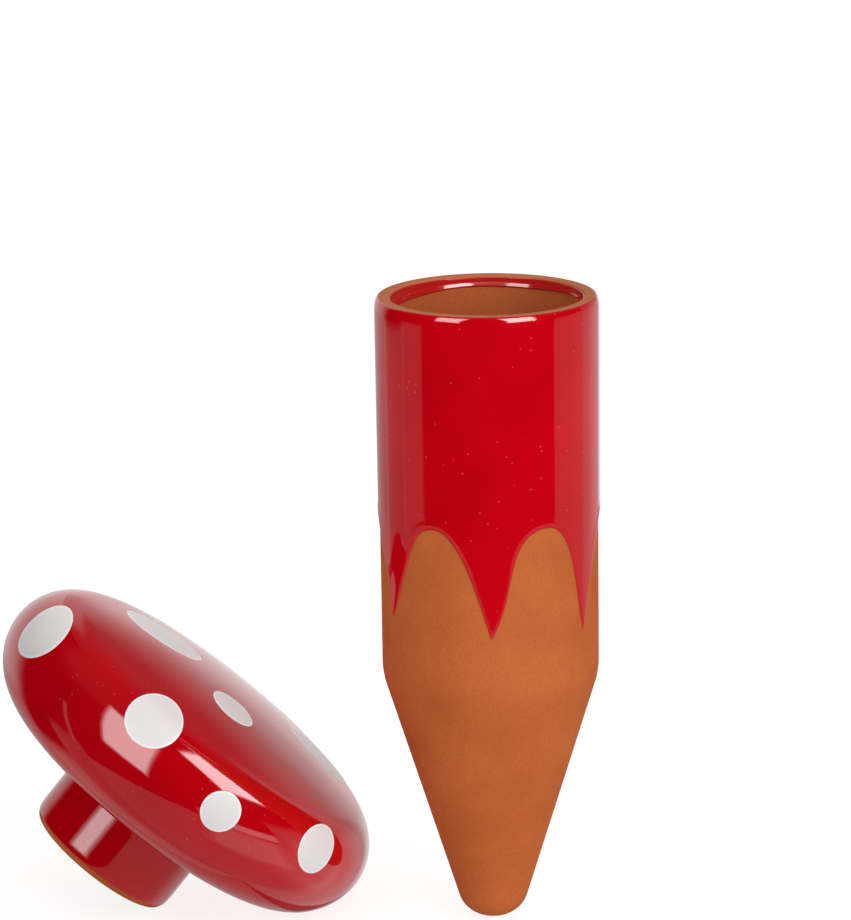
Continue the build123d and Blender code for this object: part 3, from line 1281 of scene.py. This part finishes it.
@dataclass
class Studio:
    """The pale floor, the white surroundings, the soft light and the camera."""

    floor_reach: float = 8.0
    floor_tone: float = 0.32
    floor_glow: float = 0.84
    floor_bounce: float = 0.38
    ambient: float = 0.5
    zenith: float = 0.1
    camera_pitch: float = 12.985
    camera_roll: float = -0.763
    lens: float = 307.5
    sweep_floor_blur: float = 8.0
    sweeps: tuple[Sweep, ...] = (
        Sweep(-72, 72, 1.0, -16.0, 1.6, 0.52),
        Sweep(-98, -72, 2.0, -7.0, 8.0, 0.38),
        Sweep(-130, -98, 3.0, -27.0, 10.0, 0.7),
        Sweep(-190, -128, 9.0, 42.0, 16.0, 0.92, -8.0),
        Sweep(-190, -130, 6.0, -6.0, 10.0, 0.42),
        Sweep(72, 115, 1.0, 6.0, 7.0, 0.45),
        Sweep(115, 150, 2.0, 19.0, 4.0, 0.36),
        Sweep(115, 168, 2.0, 0.0, 10.0, 0.26),
        Sweep(150, 168, 3.0, 14.0, 8.0, 0.27),
        Sweep(158, 190, 4.0, 8.0, 8.0, 0.34, -26.0),
        Sweep(168, 190, 3.0, 38.0, 18.0, 0.46, -26.0),
        Sweep(130, 190, 8.0, 60.0, 8.0, 0.11),
    )
    dome_cards: tuple[SoftCard, ...] = (
        SoftCard("dome left softbox", -18.1, 36.1, 18, 31, 4.0, -27.2),
        SoftCard("dome right softbox", 81.2, 37.8, 13, 17.5, 5.7, 76.8),
        SoftCard("dome left strip", -76, 8, 1.8, 18, 0.35),
        SoftCard("dome right floor, far", 42, -11.5, 30, 4, 1.1),
        SoftCard("dome right floor, near", 42, -33, 31, 19, 0.42, feather=0.15),
        SoftCard("dome side floor", 99, -30, 27, 33, 0.2, feather=0.15),
    )
    plug_cards: tuple[SoftCard, ...] = (SoftCard("plug softbox", -41, 11, 17, 8.5, 3.8, -29, feather=0.2),)
    tube_cards: tuple[SoftCard, ...] = (
        SoftCard("tube left softbox", -42, 33, 14, 20, 4.8),
        SoftCard("tube right softbox", 36, 33, 16, 20, 7.4),
        SoftCard("tube left floor", -114, -17, 19, 7, 0.18),
    )
    band_cards: tuple[SoftCard, ...] = (SoftCard("mouth front", 0, 22, 60, 22, 0.7, feather=0.15),)
    spike_lamps: tuple[SoftCard, ...] = (
        plain_lamp("key on the spike", 30, 25, 24, 2.1),
        plain_lamp("fill on the spike", -75, 15, 30, 0.2),
    )
    coat_lamps: tuple[SoftCard, ...] = (plain_lamp("key on the cap", 60, 4, 24, 2.1),)
    dot_lamps: tuple[SoftCard, ...] = (plain_lamp("key on the dots", 44, 32, 24, 2.1),)
    cap_lamps: tuple[SoftCard, ...] = (plain_lamp("upper light on the cap", 98, 45, 24, 1.1),)

    def lay_floor(self) -> bpy.types.Object:
        """Lays the floor: white to the camera with the object's soft shadow on it, and returns it."""
        mesh = bmesh.new()
        bmesh.ops.create_circle(mesh, cap_ends=True, segments=96, radius=self.floor_reach)
        data = bpy.data.meshes.new("floor")
        mesh.to_mesh(data)
        mesh.free()
        material, shader = new_material("pale_floor")
        path = shader.node("ShaderNodeLightPath")
        glow = shader.math("MULTIPLY", path.outputs["Is Camera Ray"], self.floor_glow)
        bounce = shader.math("MULTIPLY", path.outputs["Is Diffuse Ray"], self.floor_bounce)
        light = shader.node("ShaderNodeEmission", {"Strength": shader.math("ADD", glow, bounce)})
        tone = (self.floor_tone, self.floor_tone, self.floor_tone)
        face = shader.node("ShaderNodeBsdfDiffuse", {"Color": tone})
        both = shader.node("ShaderNodeAddShader", {0: light.outputs[0], 1: face.outputs[0]})
        shader.node("ShaderNodeOutputMaterial", {"Surface": both.outputs[0]})
        data.materials.append(material)
        floor = placed("floor", data)
        floor.visible_glossy = False
        return floor

    def surround(self) -> None:
        """Fills the surroundings: white to the camera, even on the object, stepped in the gloss."""
        world = bpy.data.worlds.new("surroundings")
        bpy.context.scene.world = world
        world.use_nodes = True
        shader = Shader(world.node_tree)
        path = shader.node("ShaderNodeLightPath")
        way = shader.node("ShaderNodeTexCoord").outputs["Generated"]
        axes = shader.node("ShaderNodeSeparateXYZ", {0: way})
        back = shader.math("MULTIPLY", axes.outputs[1], -1.0)
        turn = shader.math("DEGREES", shader.math("ARCTAN2", axes.outputs[0], back))
        rise = shader.math("DEGREES", shader.math("ARCSINE", axes.outputs[2]))
        gloss = shader.step(rise, 55, 70, 0.0, self.zenith)
        for sweep in self.sweeps:
            half = sweep.top_blur / 2
            low = shader.step(rise, sweep.top - half, sweep.top + half, 1.0, 0.0)
            starts = shader.step(turn, sweep.start - sweep.blur, sweep.start + sweep.blur)
            ends = shader.step(turn, sweep.end - sweep.blur, sweep.end + sweep.blur, sweep.brightness, 0.0)
            blur = self.sweep_floor_blur
            high = shader.step(rise, sweep.bottom - blur, sweep.bottom + blur)
            sides = shader.math("MULTIPLY", starts, ends)
            stretch = shader.math("MULTIPLY", sides, shader.math("MULTIPLY", low, high))
            gloss = shader.math("ADD", gloss, stretch)
        seen = shader.math("MULTIPLY", path.outputs["Is Glossy Ray"], gloss)
        plain = shader.math("MULTIPLY", path.outputs["Is Diffuse Ray"], self.ambient)
        strength = shader.math("ADD", shader.math("ADD", path.outputs["Is Camera Ray"], seen), plain)
        light = shader.node("ShaderNodeBackground", {"Color": (1.0, 1.0, 1.0), "Strength": strength})
        shader.node("ShaderNodeOutputWorld", {"Surface": light.outputs[0]})

    def set_camera(self) -> None:
        """Places the camera where the photograph was taken from, for a frame of 851 by 920."""
        data = bpy.data.cameras.new("camera")
        data.lens = self.lens
        data.sensor_width = 36
        data.sensor_height = 36
        data.sensor_fit = "AUTO"
        data.clip_start = 0.05
        data.clip_end = 50
        camera = placed("camera", data)
        upright = Matrix.Rotation(math.radians(90 - self.camera_pitch), 4, "X")
        roll = Matrix.Rotation(math.radians(self.camera_roll), 4, "Z")
        camera.matrix_world = Matrix.Translation(CAMERA_PLACE) @ upright @ roll
        bpy.context.scene.camera = camera

    def build(self, tube: Sequence[bpy.types.Object], cap: Sequence[bpy.types.Object]) -> None:
        """Sets up the whole studio.

        Args:
            tube: The pieces of the spike.
            cap: The pieces of the cap: its clay, the plug's coat, the dome's coat and the dots.
        """
        floor = self.lay_floor()
        self.surround()
        hangings = (
            (self.dome_cards, DOME_CENTRE, cap[2:]),
            (self.plug_cards, PLUG_CENTRE, cap[:2]),
            (self.tube_cards, TUBE_CENTRE, tube),
            (self.band_cards, TUBE_CENTRE, tube[2:]),
            (self.spike_lamps, MIDDLE, [*tube, floor]),
            (self.coat_lamps, MIDDLE, cap[:3]),
            (self.dot_lamps, MIDDLE, cap[3:]),
            (self.cap_lamps, MIDDLE, cap),
        )
        for cards, centre, receivers in hangings:
            for card in cards:
                card.hang(centre, receivers)
        self.set_camera()
        bpy.context.scene.view_settings.view_transform = "Standard"
        log.info("studio: floor, surroundings, camera and lamps")


def main() -> None:
    """Builds the object's pieces in order, then the studio."""
    logging.basicConfig(level=logging.INFO, format="%(message)s")
    finishes = Finishes.made()
    spike = Spike().build(finishes)
    cap = Cap().build(finishes)
    Studio().build(spike, cap)


if __name__ == "__main__":
    main()
